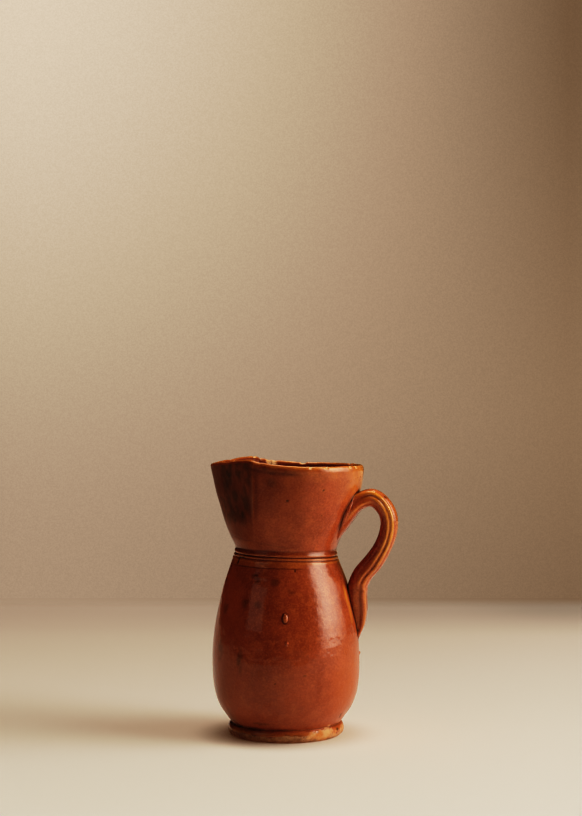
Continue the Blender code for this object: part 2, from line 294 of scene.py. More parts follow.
drop = mound(-0.56, 91.7, 2.0, 3.3, 1.30, 3.0)
bead_x = np.radians(wrap_deg(th + 0.56)) * 50.0 / 2.0
bead_z = (base_z - 91.7) / 3.3
# painted shadow: a dark rim round the big glaze drop, heavier on its left and lower side
bead_shadow = bell(np.sqrt(bead_x ** 2 + bead_z ** 2), 1.10, 0.17) * (0.5 + 0.5 * smooth(0.6, -0.5, bead_x + 0.4 * bead_z))
drop = drop + mound(0.64, 74.3, 1.1, 1.9, 0.55) + mound(88.0, 60.4, 1.1, 1.2, 0.9) + mound(150.0, 96.0, 1.2, 1.4, 0.5) \
    + mound(-128.0, 66.0, 1.0, 1.5, 0.45)
pits = mound(14.4, 50.8, 0.7, 0.7, 0.35) + mound(-7.6, 45.5, 0.6, 0.6, 0.3) + mound(20.0, 69.6, 0.6, 0.6, 0.25) \
    + mound(-150.0, 84.0, 0.8, 0.8, 0.35) + mound(120.0, 40.0, 0.8, 0.7, 0.3) + mound(9.6, 125.0, 0.5, 1.3, 0.4)
scar_t = wrap_deg(th - 59.9) * PI / 180 * 45.0 + 0.55 * (base_z - 17.2)
scar = np.exp(-(scar_t / 0.75) ** 2) * (1 - smooth(1.6, 2.6, np.abs(base_z - 17.2)))
nick_t = wrap_deg(th + 60.6) * PI / 180 * 39.0 - 0.18 * (base_z - 130.0)
nick = np.exp(-(nick_t / 0.7) ** 2) * (1 - smooth(2.3, 3.2, np.abs(base_z - 130.0)))
bar = bell(base_z, 132.0, 0.55) * bell(wrap_deg(th), -54.5, 7.0)
r_out = r_out + drop - pits - 0.35 * scar - 0.35 * nick - 0.2 * bar
pos = polar(th, r_out, z_out)

pool_and_shade = 0.85 * seam + 0.62 * ring2 + 0.45 * ring3 + 0.8 * bar + 0.8 * nick
# a dark line in the groove above the foot: painted shade, heavier towards the left
heel_line = smooth(0.36, 0.62, fbm(pos * np.array([1, 1, 0.2]), 11.0, 5, 4)) * (0.55 + 0.45 * smooth(-10, -55, wrap_deg(th)))
pool_and_shade = np.maximum(pool_and_shade, 0.62 * bell(base_z, 10.0, 0.75) * heel_line)
# painted shadow round the glaze drop
pool_and_shade = np.maximum(pool_and_shade, 0.85 * bead_shadow)
thin_and_painted_light = (0.32 + 0.2 * smooth(0, 50, th)) * bell(base_z, 132.9, 0.7) + (0.24 + 0.14 * smooth(0, 50, th)) * bell(base_z, 130.2, 1.1) + 0.18 * bell(base_z, 127.8, 1.4) * (1 - smooth(8, 30, th))
thin_and_painted_light = thin_and_painted_light * (0.55 + 0.7 * fbm(pos, 7.0, 11))
thin_and_painted_light = np.maximum(thin_and_painted_light, 0.15 * smooth(0.55, 1.0, drop))
# painted reflection: a golden streak on the belly beside the handle's tail, put in the thin-glaze mask
thin_and_painted_light = np.maximum(thin_and_painted_light, spots(th, base_z, 48.0, [(66.6, 105.0, 2.6, 9.0, 0.60), (69.0, 93.0, 2.6, 9.5, 0.54)]))
stain = spots(th, base_z, 48.0, [(-37.2, 60.3, 2.6, 10.0, 0.50), (-29.7, 119.0, 5.0, 4.0, 0.52), (-36.2, 101.0, 4.6, 3.8, 0.36),
                                 (-24.0, 100.8, 4.0, 3.2, 0.36), (-10.0, 116.8, 4.0, 3.2, 0.38), (-62.0, 97.0, 4.0, 6.0, 0.36), (-62.0, 66.0, 4.0, 9.0, 0.34),
                                 (-24.0, 14.0, 8.0, 1.6, 0.55), (-140.0, 70.0, 3.0, 11.0, 0.40), (168.0, 105.0, 5.0, 7.0, 0.3),
                                 (125.0, 30.0, 6.0, 2.2, 0.4), (28.0, 117.2, 2.2, 2.0, 0.18), (5.0, 111.0, 3.4, 3.4, 0.30)])
stain = stain * smooth(0.34, 0.64, fbm(pos, 4.2, 21, 4) + 0.06)
dark_pit = np.clip(pits * 4, 0, 1)
stain = np.maximum(stain, dark_pit)
stain = np.maximum(stain, 0.95 * scar)
stain = np.maximum(stain, 0.8 * nick)
bare_edge = smooth(0.0, 1.0, (fbm(pos, 4.0, 31, 4) - 0.46) * 9) * bell(wrap_deg(th), 46.0, 8.0) * (1 - smooth(10.6, 12.6, base_z))
rows_r = [r_out[j] for j in range(len(z_rows))]
rows_z = [z_out[j] for j in range(len(z_rows))]
A = {"pool_and_shade": list(pool_and_shade), "thin_and_painted_light": list(thin_and_painted_light), "stain": list(stain), "bare": list(bare_edge * 0.85),
     "chip": list(0 * stain), "inside": list(0 * stain)}


def prepend(r, z, bare=0.0, inside=0.0, pool_and_shade_amount=0.0):
    rows_r.insert(0, np.full(N, float(r)))
    rows_z.insert(0, np.full(N, float(z)))
    for k, v in (("pool_and_shade", pool_and_shade_amount), ("thin_and_painted_light", 0.0), ("stain", 0.0), ("bare", bare), ("chip", 0.0), ("inside", inside)):
        A[k].insert(0, np.full(N, v))


def append(r, z, inside=1.0, pool_and_shade_amount=0.0):
    rows_r.append(np.broadcast_to(np.asarray(r, float), (N,)).copy())
    rows_z.append(np.broadcast_to(np.asarray(z, float), (N,)).copy())
    for k, v in (("pool_and_shade", pool_and_shade_amount), ("thin_and_painted_light", 0.0), ("stain", 0.0), ("bare", 0.0), ("chip", 0.0), ("inside", inside)):
        A[k].append(np.full(N, v))


# heel and underside
prepend(40.8, FOOT_TOP + 0.12, bare=1.0)
prepend(HEEL_R - 0.25, FOOT_TOP + 0.12, bare=1.0)
prepend(HEEL_R - 0.25, 1.0, bare=1.0)
prepend(HEEL_R - 0.6, 0.35, bare=1.0)
for r in (34.6, 30.0, 24.0, 18.0, 12.0, 6.0):
    prepend(r, 0.25 if r > 34 else 0.25 + 0.5 * (1 - (r / 34.0) ** 2), bare=1.0)
prepend(0.0, 0.75, bare=1.0)


def belly_inner(z):
    e = 0.2
    slope = (belly_r(z + e) - belly_r(z - e)) / (2 * e)
    k = 1.0 / np.sqrt(1.0 + slope * slope)
    return float(belly_r(z) - BELLY_WALL * k), float(z + BELLY_WALL * slope * k)


# inside wall, with throwing rings, down to the floor
top_in = belly_inner(JOINT_Z)
append(r_out[-1] - 1.6, z_out[-1] - 0.1, inside=0.0, pool_and_shade_amount=1.0)
append(top_in[0] + 0.0, JOINT_Z + tilt[0] - 0.6)
for z in np.arange(131.0, 14.5, -2.4):
    r, zz = belly_inner(z)
    append(r + finger_rings(zz, theta), zz + tilt[0] * smooth(112, 134, zz))
r, zz = belly_inner(14.6)
for f, g in ((0.35, 0.45), (0.65, 0.72), (0.85, 0.9), (1.0, 1.0)):
    append(r - 9.0 * f, zz + (FLOOR + 0.9 - zz) * g)
for q in (24.0, 18.0, 12.0, 7.0, 3.0):
    append(q + 0 * theta, FLOOR + 0.55 + 0.3 * np.sin(q / 5.0 * 2 * PI + np.radians(theta)))
append(0.0, FLOOR + 0.7)
belly = turned("belly_glazed", theta, rows_r, rows_z, A, poles=(True, True))

# ------------------------------------------------------------------ foot coil
foot = [(HEEL_R, 0.9), (HEEL_R + 0.6, 0.15), (37.0, 0.0), (38.1, 0.0), (39.2, 0.08), (40.2, 0.45), (40.95, 1.05), (41.5, 1.75),
        (41.95, 2.6), (42.25, 3.5), (42.42, 4.4), (42.48, 5.3), (42.38, 6.2), (42.15, 7.0), (41.83, 7.75), (41.5, 8.4),
        (41.2, 9.0), (40.9, 9.45), (39.8, FOOT_TOP), (HEEL_R, FOOT_TOP)]
fr = spline([(i, p[0]) for i, p in enumerate(foot)])
fz = spline([(i, p[1]) for i, p in enumerate(foot)])
u = np.linspace(0, len(foot) - 1, 92)
ft = theta[None, :]
outer_side = smooth(3.0, 6.0, u)[:, None] * (1 - smooth(16.5, 18.0, u))[:, None]
r0, z0 = fr(u)[:, None] + 0 * ft, fz(u)[:, None] + 0 * ft
p0 = polar(ft, r0, z0)
chew = (fbm(p0, 5.5, 41) - 0.5) * 0.55 + (fbm(p0, 16.0, 43) - 0.5) * 0.7
r0 = r0 + 0.65 * outer_side * smooth(0.3, 2.2, z0) * (1 - smooth(8.2, 9.4, z0)) + outer_side * chew * smooth(6.5, 1.5, z0) + outer_side * 0.12 * (fbm(p0, 3.0, 44) - 0.5)
nibble = smooth(0.66, 0.80, fbm(p0, 4.2, 47)) * outer_side * smooth(3.2, 0.6, z0)
r0 = r0 - 0.7 * nibble
z0 = np.maximum(z0, 0.0)
p0 = polar(ft, r0, z0)
# the glaze stops part of the way down the coil, in a ragged line, and is missing in some worn places
line = 4.9 + 1.7 * (fbm(p0 * np.array([1, 1, 0.25]), 15.0, 51) - 0.5) * 2 + 1.2 * (fbm(p0, 4.0, 53, 4) - 0.5) * 2
bare = smooth(1.5, -1.3, z0 - line)


def worn_place(a, h, w, t):
    x = np.radians(wrap_deg(ft - a)) * 42.0
    q = np.sqrt((x / w) ** 2 + ((z0 - h) / t) ** 2) + 1.3 * (fbm(p0, 5.2, 55) - 0.5) + 1.0 * (fbm(p0, 1.9, 56) - 0.5)
    return 1 - smooth(0.62, 1.10, q)


patch = np.maximum(worn_place(39.5, 5.2, 16.0, 5.2), 0.6 * worn_place(76.0, 6.0, 7.0, 3.0))
patch = np.maximum(patch, np.maximum(worn_place(-150.0, 4.0, 9.0, 3.4), 0.8 * worn_place(148.0, 5.0, 7.0, 3.6)))
bare = np.maximum(bare, patch)
drips = 0.45 * bell(z0 - line, 0.4, 0.6) * smooth(0.50, 0.66, fbm(p0, 4.4, 57)) * (1 - patch)
# a dark line in the groove under the belly: painted shade, heavier towards the left
foot_line = smooth(0.36, 0.62, fbm(p0 * np.array([1, 1, 0.2]), 11.0, 5, 4)) * (0.55 + 0.45 * smooth(-10, -55, ft))
fpool_and_shade = np.maximum(0.62 * bell(z0, 9.5, 0.75) * foot_line, drips)
fpool_and_shade = fpool_and_shade * (r0 > 39.0)
fstain = spots(ft, z0, 42.0, [(12.0, 5.4, 5.0, 1.6, 0.35), (-44.0, 6.2, 12.0, 2.0, 0.16), (27.0, 2.2, 3.0, 0.6, 0.8), (33.0, 1.4, 2.0, 0.5, 0.8),
                              (62.0, 6.8, 2.0, 1.3, 0.7), (70.0, 4.4, 1.6, 1.0, 0.6), (100.0, 5.0, 6.0, 1.5, 0.5), (-120.0, 5.0, 6.0, 1.8, 0.5)])
fstain = fstain * smooth(0.3, 0.6, fbm(p0, 3.0, 59) + 0.1)
fdark = 0.20 * smooth(8.0, -40.0, ft) * smooth(-178.0, -130.0, ft) * (0.5 + fbm(p0, 9.0, 60))
# the coil's bead has thin glaze, and painted light brightens it on the left front
foot_ring = turned("foot_coil", theta, list(r0), list(z0),
                   {"pool_and_shade": list(fpool_and_shade), "bare": list(bare), "stain": list(fstain), "chip": list(patch * outer_side), "dark": list(fdark),
                    "thin_and_painted_light": list((0.30 + 0.40 * bell(wrap_deg(ft + 58.0), 0.0, 24.0)) * outer_side * bell(z0, 6.4, 1.8) * (0.3 + fbm(p0, 7.0, 58)))}, closed=True)

# ------------------------------------------------------------------ neck and beak: one thrown wall, folded on one side
NC, NBK = 250, 132


def crease_angle(z):
    return np.arccos(CREASE_X / neck_r(z))


def on_circle(share, z):
    a = crease_angle(z)
    psi = a + (2 * PI - 2 * a) * share
    r = neck_r(z)
    return np.stack([-r * np.cos(psi), -r * np.sin(psi), z], axis=-1)


def on_beak(t, z):
    r = neck_r(z)
    side = np.sqrt(r * r - CREASE_X ** 2)
    b = t * side
    grown = smooth(BEAK_FADE[0], BEAK_FADE[1], z)
    keel = r - BEAK_SETBACK
    drop_ = (keel - CREASE_X) / (np.sqrt(side * side + BEAK_NOSE ** 2) - BEAK_NOSE)
    folded = keel - drop_ * (np.sqrt(b * b + BEAK_NOSE ** 2) - BEAK_NOSE)
    thrown = np.sqrt(np.maximum(0.0, r * r - b * b))
    return np.stack([-(thrown + grown * (folded - thrown)), -b, z], axis=-1)


def ring_point(z):
    """All points of the wall at heights z [column][row], round the back from the near crease to the beak and to it again."""
    c = np.linspace(0, 1, NC + 1)[:, None]
    t = np.linspace(-1, 1, NBK + 1)[1:-1, None]
    return np.concatenate([on_circle(c + 0 * z[:NC + 1], z[:NC + 1]), on_beak(t + 0 * z[NC + 1:], z[NC + 1:])], axis=0)


COLS = NC + NBK


def psi_of(p):
    """Angle from the beak in degrees, 0 to 180, and signed (near side positive)."""
    a = np.degrees(np.arctan2(-p[..., 1], -p[..., 0]))
    return np.abs(a), a


# rim height of each column
top = np.full((COLS, 1), RIM_HEIGHT)
for _ in range(8):
    p = ring_point(top)
    top = RIM_HEIGHT + steps(RIM_RISE, psi_of(p)[0])
rim_p = ring_point(top)[:, 0]
rim_psi = psi_of(rim_p)[1]
rim_theta = wrap_deg(rim_psi - 90.0)
uneven = 0.28 * (fbm(rim_p, 16.0, 61) - 0.5) * 2 + 0.18 * (fbm(rim_p, 5.0, 63) - 0.5) * 2
top = top + uneven[:, None]
folded_part = np.zeros(COLS)
folded_part[NC + 1:] = 1.0
for _ in range(40):
    folded_part = 0.5 * folded_part + 0.25 * (np.roll(folded_part, 1) + np.roll(folded_part, -1))
folded_part = folded_part[:, None]
lip_h = LIP - 2.6 * folded_part

low = np.concatenate([np.arange(0, 0.999, 0.034), [1.0]])
low = JOINT_Z + (BEAK_FOOT_Z - JOINT_Z) * low
col_tilt = (-WAIST_TILT * np.sin(np.radians(rim_theta)))[:, None]
shares = np.linspace(0, 1, 66)[1:]
z_low = low[None, :] + 0 * top
z_high = BEAK_FOOT_Z + (top - lip_h - BEAK_FOOT_Z) * shares[None, :]
z_grid = np.concatenate([z_low, z_high], axis=1)
NLOW = z_low.shape[1]
P = ring_point(z_grid)


def grid_normals(p):
    along = np.roll(p, -1, axis=0) - np.roll(p, 1, axis=0)
    up = np.gradient(p, axis=1)
    n = np.cross(along, up)
    n /= np.linalg.norm(n, axis=-1, keepdims=True)
    out = p * np.array([1, 1, 0])
    s = np.sign((n * out).sum(-1, keepdims=True))
    return n * s


Nrm = grid_normals(P)
soft = Nrm.copy()
for _ in range(9):
    soft = soft * 0.5 + 0.25 * (np.roll(soft, 1, axis=0) + np.roll(soft, -1, axis=0))
soft /= np.linalg.norm(soft, axis=-1, keepdims=True)

ang, sang = psi_of(P)
nth = wrap_deg(sang - 90.0)
beak_col = np.zeros((COLS, 1))
beak_col[NC + 1:] = 1.0
to_crease = np.abs(np.abs(P[..., 0] + CREASE_X))            # distance in x from the crease planes
front_or_back = smooth(8.0, 20.0, np.abs(P[..., 1]))
crease_grow = smooth(150.0, 172.0, z_grid)
crease_line = bell(to_crease, 0.0, 0.65) * front_or_back * crease_grow * (P[..., 0] < 0)
crease_side = (bell(to_crease, 2.2, 1.5)) * front_or_back * crease_grow * (P[..., 0] < 0)

# wall details
d = wobble(nth, z_grid) * smooth(139, 150, z_grid)
d = d - 0.80 * bell(z_grid, JOINT_Z, 0.50) + 0.36 * bell(z_grid, 135.6, 1.35) - 0.14 * bell(z_grid, 138.6, 0.6)
fold_z = 142.7 - 0.095 * (nth + 11.5)
fold = bell(z_grid, fold_z, 0.55) * smooth(-100, -62, nth) * (1 - smooth(-12, 14, nth))
d = d - 0.11 * fold + 0.06 * bell(z_grid, fold_z + 1.6, 0.9) * smooth(-90, -55, nth) * (1 - smooth(-12, 14, nth))
d = d + 0.10 * crease_line - 0.08 * crease_side
d = d + 0.10 * (fbm(P, 14.0, 71) - 0.5) * 2
d = d + folded_part * (1.2 * smooth(186.0, 204.0, z_grid) - 0.15 * bell(z_grid, 172.0, 15.0)) + 0.65 * bell(nth, 90.0, 48.0) * smooth(146.0, 176.0, z_grid)


def neck_mound(a, h, w, t, height):
    x = np.radians(wrap_deg(nth - a)) * neck_r(z_grid)
    q = np.sqrt((x / w) ** 2 + ((z_grid - h) / t) ** 2)
    return height * np.clip(1 - q ** 2, 0, 1) ** 0.7


npits = neck_mound(1.2, 176.0, 0.75, 0.75, 0.35) + neck_mound(29.4, 183.3, 0.8, 0.7, 0.35) + neck_mound(31.0, 165.0, 0.5, 0.5, 0.2) \
    + neck_mound(-165.0, 170.0, 0.7, 0.7, 0.3) + neck_mound(140.0, 180.0, 0.8, 0.6, 0.3)
d = d - npits
outer = P + Nrm * d[..., None]
# the waist's rings are a little out of level
outer[..., 2] += col_tilt * (1 - smooth(134.0, 152.0, z_grid))

# glaze pooled in the band above the waist, with painted shade making it heavier towards the left
left_more = 0.55 + 0.20 * smooth(-5.0, -48.0, nth) * smooth(-178.0, -140.0, nth)
npool_and_shade = 0.85 * bell(z_grid, JOINT_Z, 0.5) + left_more * (0.50 * bell(z_grid, 137.3, 1.5) + 0.35 * bell(z_grid, 138.6, 0.55))
npool_and_shade = np.maximum(npool_and_shade, 0.20 * fold * (0.3 + 1.2 * fbm(P, 6.0, 70)))
npool_and_shade = np.maximum(npool_and_shade, 0.30 * crease_side * (0.4 + fbm(P, 8.0, 72)))
below_lip = (top - z_grid)
smudge = bell(below_lip, 5.8, 1.5) * smooth(-45, -24, nth) * (1 - smooth(4, 16, nth))
npool_and_shade = np.maximum(npool_and_shade, 0.5 * smudge * (0.4 + fbm(P, 5.0, 73)))
nthin = 0.16 * bell(z_grid, 135.4, 0.8) + 0.06 * crease_line
golden = bell(nth, 74.0, 24.0) * smooth(166, 192, z_grid)
nthin = np.maximum(nthin, 0.68 * golden * (0.30 + 1.0 * fbm(P, 9.0, 75)))
nthin = np.maximum(nthin, 0.33 * smooth(14.0, 4.0, below_lip) * (0.2 + fbm(P, 7.0, 77)) * smooth(-10, 40, nth))
nstain = spots(nth, z_grid, 52.0, [(-58.4, 194.5, 5.0, 4.0, 0.75), (-41.0, 194.5, 4.5, 3.5, 0.65), (-31.0, 189.5, 3.5, 3.5, 0.4),
                                   (-43.0, 165.0, 2.5, 3.5, 0.7), (-57.0, 161.0, 3.0, 2.5, 0.6), (-53.0, 178.5, 5.0, 6.0, 0.55), (-36.0, 180.0, 3.0, 9.0, 0.4), (-62.0, 186.0, 3.5, 4.0, 0.55),
                                   (-10.3, 189.0, 4.0, 4.0, 0.25), (-110.0, 180.0, 6.0, 8.0, 0.6), (-125.0, 168.0, 5.0, 5.0, 0.5),
                                   (170.0, 184.0, 6.0, 5.0, 0.3)])
nstain = nstain * smooth(0.30, 0.62, fbm(P, 4.5, 79) + 0.05)
flecks = smooth(0.48, 0.64, fbm(P * np.array([1, 1, 0.6]), 6.5, 80, 4)) * folded_part * smooth(152.0, 166.0, z_grid)
nstain = np.maximum(nstain, 0.45 * flecks)
upper = smooth(150.0, 170.0, z_grid)
# dark glaze on the beak's left face, partly painted shade; below, painted shade grows from right to left across the
# neck
left_side = (upper * smooth(-25.5, -33.0, nth) + (1 - upper) * smooth(-14.0, -46.0, nth)) * smooth(-178.0, -150.0, nth)
ndark = np.clip(0.69 * left_side * smooth(135.0, 150.0, z_grid) * (0.72 + 0.28 * smooth(156.0, 174.0, z_grid)) * (0.45 + 1.1 * fbm(P, 11.0, 82, 4)), 0, 1)
painted_shade_front = steps([(-45.0, 0.46), (-30.0, 0.46), (-16.0, 0.27), (6.0, 0.27), (24.0, 0.14), (42.0, 0.0)], nth) * smooth(-170.0, -120.0, nth)
painted_shade_front = painted_shade_front * (0.75 + 0.45 * smooth(150.0, 192.0, z_grid)) * smooth(134.0, 142.0, z_grid) * (0.75 + 0.5 * fbm(P, 18.0, 84))
ndark = np.maximum(ndark, painted_shade_front)
nstain = np.maximum(nstain, np.clip(npits * 4, 0, 1))

# lip: half an upright ellipse between the outer and inner wall
inner = P - soft * wall(z_grid)[..., None]
inner[..., 2] += col_tilt * (1 - smooth(134.0, 152.0, z_grid))
inner = inner + soft * (0.22 * np.sin(z_grid / 6.5 * 2 * PI + np.radians(nth)))[..., None] * smooth(140, 150, z_grid)[..., None] \
    * smooth(2.0, 12.0, top - lip_h - z_grid)[..., None]
o_top, i_top = outer[:, -1], inner[:, -1]
mid = (o_top + i_top) / 2
half = (o_top - i_top) / 2
lean = (outer[:, -1] - outer[:, -4])
lean /= lean[:, 2:3]
arc = np.linspace(0, PI, 25)[1:-1]
lip_rows = []
for a in arc:
    c, s = np.cos(a), np.sin(a)
    fat = (abs(c) ** 2.35 + abs(s) ** 2.35) ** (-1 / 2.35)
    q = mid + half * (c * fat) + lean * (lip_h * s * fat) * 0.92
    q[:, 2] = mid[:, 2] + (o_top[:, 2] - mid[:, 2]) * c * fat + lip_h[:, 0] * s * fat
    lip_rows.append(q)
lip = np.stack(lip_rows, axis=1)
wear = fbm(lip, 3.2, 81)[..., None][..., 0]
lip_s = np.sin(arc)[None, :] + 0 * lip[..., 0]
lth = wrap_deg(psi_of(lip)[1] - 90.0)


def chip_at(a, w, lo, hi):
    """A flake off the rim: angle, half width in degrees, and the stretch of the lip's arc (0 outside to 1 inside) it takes."""
    along = np.abs(wrap_deg(lth - a)) / w
    across_ = (arc / PI)[None, :] + 0 * lth
    inside_ = smooth(lo - 0.10, lo, across_) * (1 - smooth(hi, hi + 0.10, across_))
    return (1 - smooth(0.55, 1.1, along + 0.7 * (wear - 0.5))) * inside_


chips = np.zeros_like(lth)
for item in [(-165.5, 2.6, 0.10, 0.90), (-170.0, 2.6, 0.45, 1.1), (-152.0, 2.4, 0.15, 0.80), (-158.5, 1.0, 0.30, 0.66), (166.0, 2.8, 0.25, 0.70), (54.6, 1.3, 0.28, 0.55), (31.0, 0.9, 0.30, 0.50),
             (63.4, 1.1, 0.28, 0.52), (18.2, 1.1, 0.28, 0.46), (-49.0, 1.6, 0.30, 0.58), (118.0, 2.2, 0.25, 0.6), (140.0, 1.2, 0.3, 0.5),
             (-118.0, 2.0, 0.25, 0.6)]:
    chips = np.maximum(chips, chip_at(*item))
small = smooth(0.74, 0.82, wear) * smooth(0.95, 0.995, lip_s) * 0.6
chips = np.maximum(chips, small)
lip = lip - (lip - mid[:, None]) * (0.16 * chips)[..., None]

inner_down = inner[:, ::-1]
G = np.concatenate([outer, lip, inner_down], axis=1)
NZ = z_grid.shape[1]
NL = lip.shape[1]
ROWS = G.shape[1]
lip_thin = 0.62 * smooth(0.35, 0.95, lip_s) * (0.45 + 0.9 * fbm(lip, 8.0, 83)) * (0.65 + 0.35 * smooth(-60, 40, lth))
lip_thin = np.maximum(lip_thin, 0.9 * bell(lth, -152.0, 9.0) * smooth(0.35, 0.8, lip_s))
lip_thin = np.maximum(lip_thin, nthin[:, -1:] * (arc < PI / 2)[None, :])
lip_stain = 0.45 * smooth(0.2, 0.75, 1 - lip_s) * smooth(-45, -24, lth) * (1 - smooth(4, 16, lth)) * (arc < PI / 2)[None, :] * fbm(lip, 5.0, 85) * 1.6


flake_x = np.radians(wrap_deg(nth + 169.0)) * 54.0 - 0.7 * (below_lip - 3.0)
inner_flake = bell(flake_x, 0.0, 2.0) * smooth(8.5, 5.5, below_lip) * smooth(0.35, 0.55, fbm(P, 2.6, 86) + 0.12)


def full(o, l, i):
    return np.concatenate([o, l + 0 * lip_s, i + 0 * z_grid], axis=1)


G_attr = {
    "pool_and_shade": full(npool_and_shade, 0.0, 0.0), "thin_and_painted_light": full(nthin, lip_thin, 0.0), "chip": full(0 * z_grid, chips, inner_flake[:, ::-1]),
    "stain": full(nstain, lip_stain, 0.0), "bare": full(0 * z_grid, 0.0, 0.0), "dark": full(ndark, 0.5 * ndark[:, -1:], 0.0),
    "inside": full(0 * z_grid, smooth(0.6, 0.95, (arc / PI))[None, :], 1.0),
}


def pot_normals_cells(keep_cell, name, edge_cols, floor_row):
    """Builds a piece from the cells of the wall that it owns and closes its cut faces."""
    index, verts = {}, []
    flat = {k: [] for k in ATTRS}

    def vid(i, j):
        i %= COLS
        key = (i, j)
        if key not in index:
            index[key] = len(verts)
            verts.append(G[i, j])
            for k in ATTRS:
                flat[k].append(float(G_attr[k][i, j]))
        return index[key]

    faces = []
    for i in range(COLS):
        for j in range(ROWS - 1):
            if keep_cell(i, j):
                faces.append((vid(i, j), vid(i + 1, j), vid(i + 1, j + 1), vid(i, j + 1)))
    for i, flip in edge_cols:
        for j in range(NLOW - 1, NZ - 1):
            k = ROWS - 1 - j
            f = (vid(i, j), vid(i, j + 1), vid(i, k - 1), vid(i, k))
            faces.append(f[::-1] if flip else f)
        f = [vid(i, j) for j in range(NZ - 1, NZ + NL + 1)]
        faces.append(tuple(f[::-1] if flip else f))
    for i, j, flip in floor_row:
        k = ROWS - 1 - j
        f = (vid(i, j), vid(i + 1, j), vid(i + 1, k), vid(i, k))
        faces.append(f[::-1] if flip else f)
    return make_piece(name, verts, faces, flat)


def low_row(j):
    return j < NLOW - 1 or j >= ROWS - NLOW


neck = pot_normals_cells(lambda i, j: i < NC or low_row(j), "neck_glazed",
                         [(0, False), (NC, True)],
                         [(i, NLOW - 1, False) for i in range(NC, COLS)] + [(i, 0, True) for i in range(COLS)])
beak = pot_normals_cells(lambda i, j: i >= NC and not low_row(j), "beak_glazed",
                         [(NC, False), (0, True)],
                         [(i, NLOW - 1, True) for i in range(NC, COLS)])

# ------------------------------------------------------------------ handle
length = [0.0]
for p, q in zip(STRAP, STRAP[1:]):
    length.append(length[-1] + math.sqrt(sum((p[k] - q[k]) ** 2 for k in range(3))))
tracks = [spline([(s, row[k]) for s, row in zip(length, STRAP)]) for k in range(5)]
L = length[-1]
S, R = 320, 112
BURY = 6.0                                          # how far the root runs on into the neck wall
s_ = np.linspace(-BURY, L, S)
az = math.radians(STRAP_AZIMUTH)
across = np.array([-math.sin(az), -math.cos(az), 0.0])


def spot(s):
    return np.stack([tracks[0](s), -tracks[2](s), tracks[1](s)], axis=-1)


on = np.maximum(s_, 0.0)
C = spot(on) - np.maximum(-s_, 0.0)[:, None] * np.array([0.93, 0.0, -0.37])
C = C + fuller(C[:, 2])[:, None] * smooth(126.0, 112.0, C[:, 2])[:, None] * np.array([0.99, -0.12, 0.0])
T = spot(on + 0.3) - spot(on - 0.3)
T /= np.linalg.norm(T, axis=-1, keepdims=True)
B = across[None] - T * (T @ across)[:, None]
B /= np.linalg.norm(B, axis=-1, keepdims=True)
O = np.cross(B, T)
O /= np.linalg.norm(O, axis=-1, keepdims=True)
if O[0, 2] < 0:
    O[0] *= -1
for i in range(1, S):
    if O[i] @ O[i - 1] < 0:
        O[i] *= -1
root = s_ < ROOT_LENGTH
lean_ = np.radians(ROOT_LEAN) * (1 - on / ROOT_LENGTH)
W = np.stack([np.sin(lean_), 0 * s_, np.cos(lean_)], axis=-1)
mix = smooth(0, ROOT_LENGTH, s_)[:, None]
O = np.where(root[:, None], W * (1 - mix) + O * mix, O)
O /= np.linalg.norm(O, axis=-1, keepdims=True)

a_ = np.arange(R) * 360.0 / R                       # 0 near side, 90 back, 180 far side, 270 towards the pot
ca, sa = np.cos(np.radians(a_)), np.sin(np.radians(a_))
fat = (np.abs(ca) ** 2.5 + np.abs(sa) ** 2.5) ** (-1 / 2.5)
w = (tracks[3](on) / 2)[:, None]
t = (tracks[4](on) / 2)[:, None]
ss = s_[:, None]
aa = a_[None, :]
# clay smeared down the neck below the root
smear = 6.5 * (1 - smooth(-2.0, 7.0, ss)) * np.clip(-sa, 0, 1)[None, :] ** 1.5
pinch = 1 - 0.45 * (1 - smooth(-2.0, 8.0, ss)) * np.clip(-sa, 0, 1)[None, :] ** 1.5
tail0 = length[10]
in_tail = smooth(tail0 + 3.0, tail0 + 9.5, ss) * (1 - smooth(L - 14.0, L - 3.0, ss))
strap_part = smooth(10.0, 24.0, ss) * (1 - smooth(tail0 + 1.0, tail0 + 9.0, ss))
wa = wrap_deg(aa)
groove_c = spline([(0.0, 24.0), (length[3], 22.0), (length[4], 18.0), (length[5], 14.5), (length[7], 20.0), (length[8], 22.0),
                   (length[9], 26.0), (length[10], 22.0), (length[12], 25.0), (L, 25.0)])(ss)
at_bend = bell(ss, s_[np.argmax(C[:, 0])] - 4.0, 17.0)
g1 = bell(wa, groove_c, 5.5) * (1 - 0.65 * at_bend)
g2 = bell(aa, 180.0 - groove_c, 7.0)
ridge = bell(wa, groove_c - 15.0, 8.0) + bell(wa, groove_c + 15.0, 9.0)
ridge2 = bell(aa, 195.0 - groove_c, 9.0) + bell(aa, 167.0 - groove_c, 9.0)
dd = strap_part * (-0.50 * g1 - 0.6 * g2 + 0.50 * ridge + 0.35 * ridge2 + 0.35 * bell(aa, 92.0, 40.0) - 0.22 * bell(wa, groove_c + 31.0, 5.0))
# at the root a shallow channel between two ridges follows the turn of the strap
at_root = smooth(1.0, 6.0, ss) * (1 - smooth(17.0, 27.0, ss))
dd = dd + at_root * (-0.75 * bell(wa, 16.0, 15.0) + 0.45 * bell(wa, 48.0, 13.0) + 0.45 * bell(wa, -22.0, 14.0))
